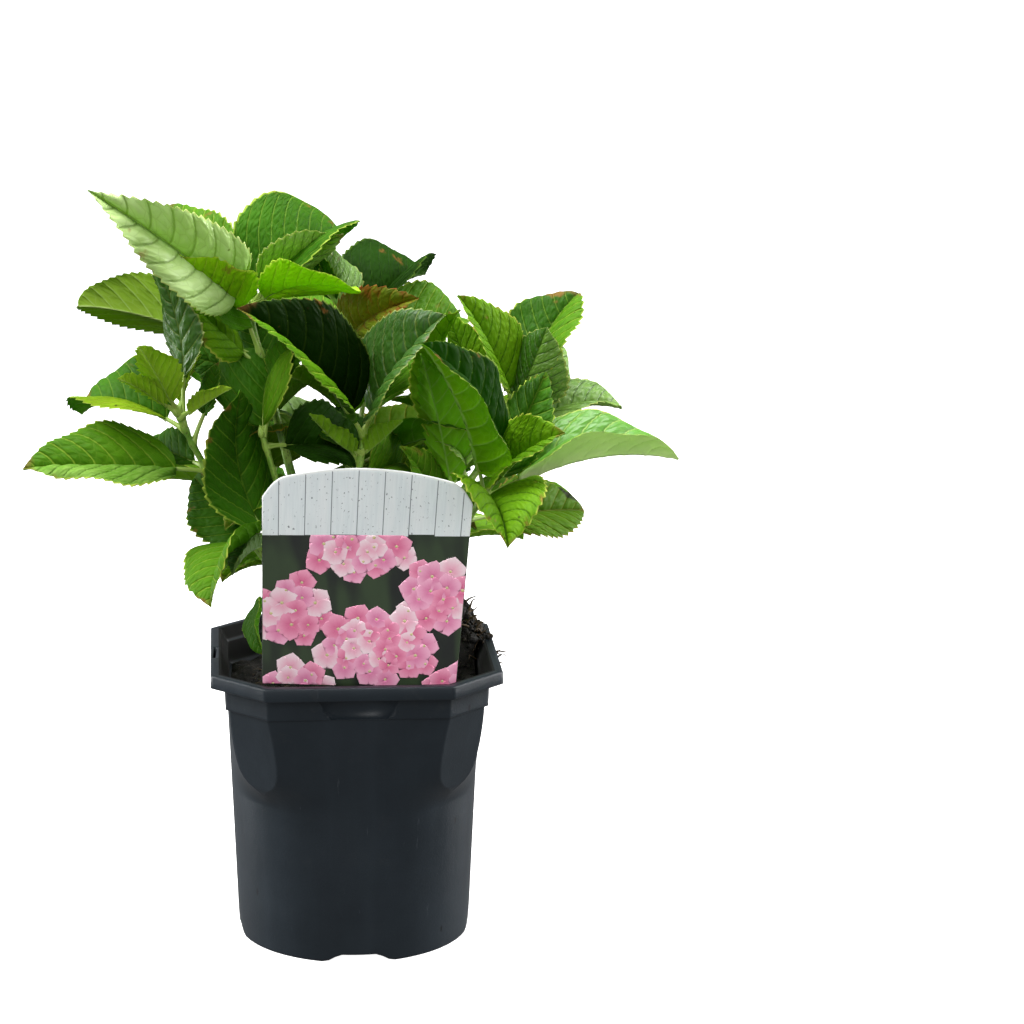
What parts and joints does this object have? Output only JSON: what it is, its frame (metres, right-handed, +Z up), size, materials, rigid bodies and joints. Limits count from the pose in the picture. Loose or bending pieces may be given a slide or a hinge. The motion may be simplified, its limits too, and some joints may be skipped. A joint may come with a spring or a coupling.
{
  "type": "potted hydrangea shrub",
  "caption": "Young bigleaf hydrangea shrub without flowers, in a dark plastic nursery pot with eight-sided rim, potting soil and an upright plant label.",
  "frame": {"origin": "middle of the pot's underside, on its pad, in the plane the pot stands on", "axes": "+Z up along the pot's axis, -Y towards the side that carries the plant label, +X to the right seen from there"},
  "size_m": [0.3337, 0.2355, 0.4021],
  "materials": {
    "pot": "satin, moulded, dark slate",
    "soil": "crumbly, matt, moist",
    "label": "printed card with a soft gloss",
    "bark": "rough, matt",
    "stem": "smooth, matt, green",
    "leaf": "satin leaf with raised veins"
  },
  "bodies": {
    "root": {"pot": "pot", "potting_soil": "soil", "plant_label": "label", "woody_foot": "bark", "stem_centre": "stem", "stem_top_left": "stem", "stem_right": "stem", "stem_left_low": "stem", "stem_right_back": "stem", "stem_left_front": "stem", "stem_front_centre": "stem", "stem_top_centre": "stem", "stem_back_centre": "stem", "stem_back_left": "stem", "stem_back_right": "stem", "stem_back_low_left": "stem", "stem_back_low_right": "stem", "foliage_centre": "leaf", "foliage_top_left": "leaf", "foliage_right": "leaf", "foliage_left_low": "leaf", "foliage_right_back": "leaf", "foliage_left_front": "leaf", "foliage_front_centre": "leaf", "foliage_top_centre": "leaf", "foliage_back_centre": "leaf", "foliage_back_left": "leaf", "foliage_back_right": "leaf", "foliage_back_low_left": "leaf", "foliage_back_low_right": "leaf"}
  },
  "joints": []
}
